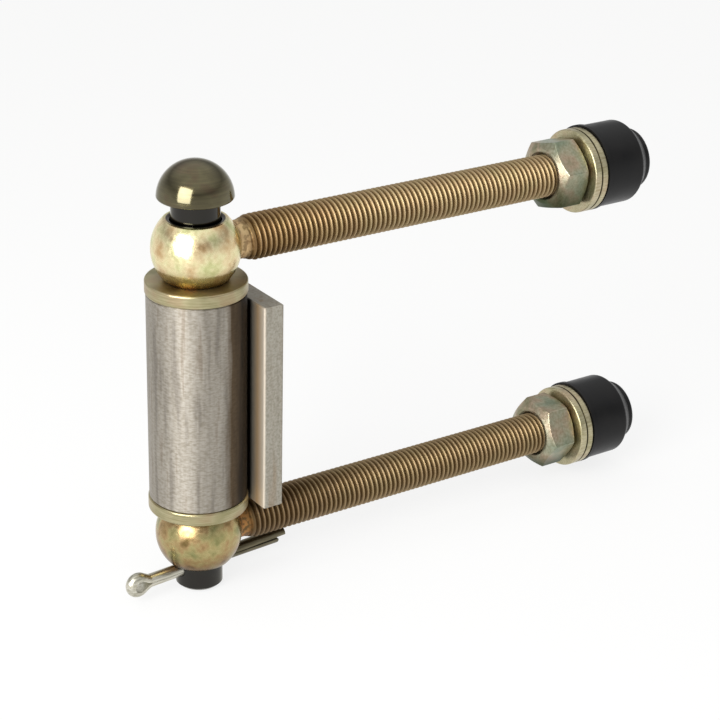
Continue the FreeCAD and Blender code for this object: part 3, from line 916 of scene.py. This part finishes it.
# A forged hexagon nut as one ring round X: the chamfer's cone meets each flat in its own curve.
def makeNutMesh(start, height, turned, finish):
    perSide = 16
    count = 6 * perSide
    slope = math.tan(math.radians(nut["slope"]))
    depth, face, bore, sink = nut["height"], nut["faceRadius"], nut["bore"], nut["sink"]
    loops = []
    for step in range(count):
        angle = 2 * math.pi * step / count
        fromFlat = (angle % (math.pi / 3)) - math.pi / 6
        wall = nut["flats"] / 2 / math.cos(fromFlat)
        cut = (wall - face) * slope
        near = [(sink, bore), (0, bore + sink), (0, face), (cut, wall)]
        outline = near + [(depth - along, out) for along, out in reversed(near)]
        lean = angle + math.radians(turned)
        loops.append([
            (start + along, -out * math.sin(lean), height + out * math.cos(lean))
            for along, out in outline
        ])
    return roundEdges(makeLoopMesh("nut", loops, finish), nut)


for side, height in bolt["heights"].items():
    for kind, body in (("inner", side + "_nut"), ("outer", side + "_bolt")):
        start, turned = nut[kind][side]
        mesh = makeNutMesh(start, height, turned, nutZinc[side])
        name = "%s%sNutForged" % (side, kind.capitalize())
        addPiece(name, mesh, "%s_%s_nut" % (side, kind), body)
print("nuts forged")


# The weld bead: one puddle laid over the next, each a crescent that trails at its edges.
def makeBeadMesh():
    low, high, tube = weld["low"], weld["high"], weld["tubeRadius"]
    corners = []
    for reach in (weld["tubeLeg"], weld["root"]):
        corners.append(Vector((bolt["eyeX"] + math.sqrt(tube ** 2 - reach ** 2), reach)))
    onTube, rootTube = corners
    onBar = Vector((weld["barFace"], weld["barLeg"]))
    rootBar = Vector((weld["barFace"], weld["root"]))
    along = onTube - onBar
    inward = Vector((along.y, -along.x)).normalized()
    if inward.y > 0:
        inward = -inward
    sag = math.sqrt(weld["crown"] ** 2 - along.length_squared / 4)
    centre = (onBar + onTube) / 2 + inward * sag
    rows = int((high - low) / weld["rowStep"])
    loops = []
    for row in range(rows + 1):
        level = low + (high - low) * row / rows
        ends = min(1.0, (level - low) / weld["endRun"], (high - level) / weld["endRun"])
        swell = math.sqrt(max(0.0, 1 - (1 - ends) ** 2))
        waver = weld["waver"] * math.sin(level * weld["waverTurn"])
        loop = []
        for step in range(weld["across"] + 1):
            spot = onBar.lerp(onTube, step / weld["across"])
            out = (spot - centre).normalized()
            edge = abs(2 * step / weld["across"] - 1)
            phase = (level + weld["trail"] * edge ** 2 + waver) / weld["ripple"]
            ripple = (1 - phase % 1) ** weld["rippleTail"]
            depth = weld["rippleDepth"] * ripple * (1 - weld["rippleFade"] * edge ** 3)
            full = centre + out * (weld["crown"] - depth)
            sunk = spot + inward * weld["sunk"]
            loop.append(sunk.lerp(full, swell))
        loop += [rootTube, rootBar]
        loops.append([(*point, level) for point in loop])
    return makeLoopMesh("bead", loops, weldMetal, ring=False)


addPiece("weldBeadRippled", makeBeadMesh(), "weld_bead", "weldment")
print("weld bead laid")

# A pale table and a soft studio: a window light to the left of the camera, in a tent of white
# cloth that is pale at the horizon, grey half way up and white overhead.
studio = {
    "floorZ": -68.0,
    "floorRadius": 9000,
    "floorSides": 96,
    "floorColour": "#e6e6e4",
    "floorWhite": 0.8,  # share of plain white that the camera and the metal see in it
    "window": {"from": (-0.835, -0.40, 0.40), "away": 900, "size": (600, 660), "power": 4.6},
    "spread": 110,  # degrees, keeps the lamp off the table near it
    "aim": (20, 0, 10),
    "tent": [(0.0, "#f0f0f0"), (0.18, "#dcdcdc"), (0.42, "#a8a8a8"), (0.8, "#ffffff")],
    "tentLevel": 1.0,
}


def makeFloor():
    mesh = bpy.data.meshes.new("table")
    shape = bmesh.new()
    bmesh.ops.create_circle(
        shape,
        cap_ends=True,
        segments=studio["floorSides"],
        radius=studio["floorRadius"] * mm,
        matrix=Matrix.Translation((0, 0, studio["floorZ"] * mm)),
    )
    shape.to_mesh(mesh)
    shape.free()
    paper, tree = startMaterial("table, matt white paper")
    rays = addNode(tree, "ShaderNodeLightPath").outputs
    share = rays["Is Camera Ray"]
    for operation, value in (
        ("MAXIMUM", rays["Is Glossy Ray"]),
        ("MAXIMUM", rays["Is Transmission Ray"]),
        ("MULTIPLY", studio["floorWhite"]),
    ):
        inputs = {0: share, 1: value}
        share = addNode(tree, "ShaderNodeMath", inputs, operation=operation).outputs[0]
    matt = addNode(tree, "ShaderNodeBsdfDiffuse", {"Color": linear(studio["floorColour"])})
    white = addNode(tree, "ShaderNodeEmission", {"Color": linear("#ffffff"), "Strength": 1.0})
    inputs = {0: share, 1: matt.outputs[0], 2: white.outputs[0]}
    mixed = addNode(tree, "ShaderNodeMixShader", inputs)
    addNode(tree, "ShaderNodeOutputMaterial", {"Surface": mixed.outputs[0]})
    mesh.materials.append(paper)
    table = bpy.data.objects.new("table", mesh)
    bpy.context.scene.collection.objects.link(table)


def makeLamp(name):
    look = studio[name]
    aim = Vector(studio["aim"]) * mm
    direction = Vector(look["from"]).normalized()
    data = bpy.data.lights.new(name, "AREA")
    data.shape = "RECTANGLE"
    data.size, data.size_y = (size * mm for size in look["size"])
    data.energy = look["power"]
    data.spread = math.radians(studio["spread"])
    lamp = bpy.data.objects.new(name, data)
    bpy.context.scene.collection.objects.link(lamp)
    lamp.location = aim + direction * look["away"] * mm
    lamp.rotation_euler = direction.to_track_quat("Z", "Y").to_euler()


def makeWorld():
    world = bpy.data.worlds.new("studio")
    bpy.context.scene.world = world
    world.use_nodes = True
    tree = world.node_tree
    tree.nodes.clear()
    towards = addNode(tree, "ShaderNodeTexCoord").outputs["Object"]
    height = addNode(tree, "ShaderNodeSeparateXYZ", {0: towards}).outputs["Z"]
    cloth = addNode(tree, "ShaderNodeValToRGB", {"Fac": height}, stops=studio["tent"])
    inputs = {"Color": cloth.outputs["Color"], "Strength": studio["tentLevel"]}
    tent = addNode(tree, "ShaderNodeBackground", inputs)
    addNode(tree, "ShaderNodeOutputWorld", {"Surface": tent.outputs[0]})


makeFloor()
makeLamp("window")
makeWorld()

# The camera as the photograph was taken, found from the outlines of the pieces.
camera = {
    "at": (-329.98, -537.71, 293.02),
    "right": (0.82848, -0.55952, 0.02351),
    "up": (0.20993, 0.34921, 0.91323),
    "back": (-0.51918, -0.75165, 0.40677),
    "lens": 100.56,
    "sensor": 36.0,
    "clipStart": 10,
}
data = bpy.data.cameras.new("camera")
data.lens = camera["lens"]
data.sensor_width = camera["sensor"]
data.clip_start = camera["clipStart"] * mm
viewer = bpy.data.objects.new("camera", data)
bpy.context.scene.collection.objects.link(viewer)
turn = Matrix([camera[axis] for axis in ("right", "up", "back")]).transposed()
viewer.matrix_world = Matrix.Translation(Vector(camera["at"]) * mm) @ turn.to_4x4()
bpy.context.scene.camera = viewer
bpy.context.scene.view_settings.view_transform = "Standard"
print("studio and camera set")
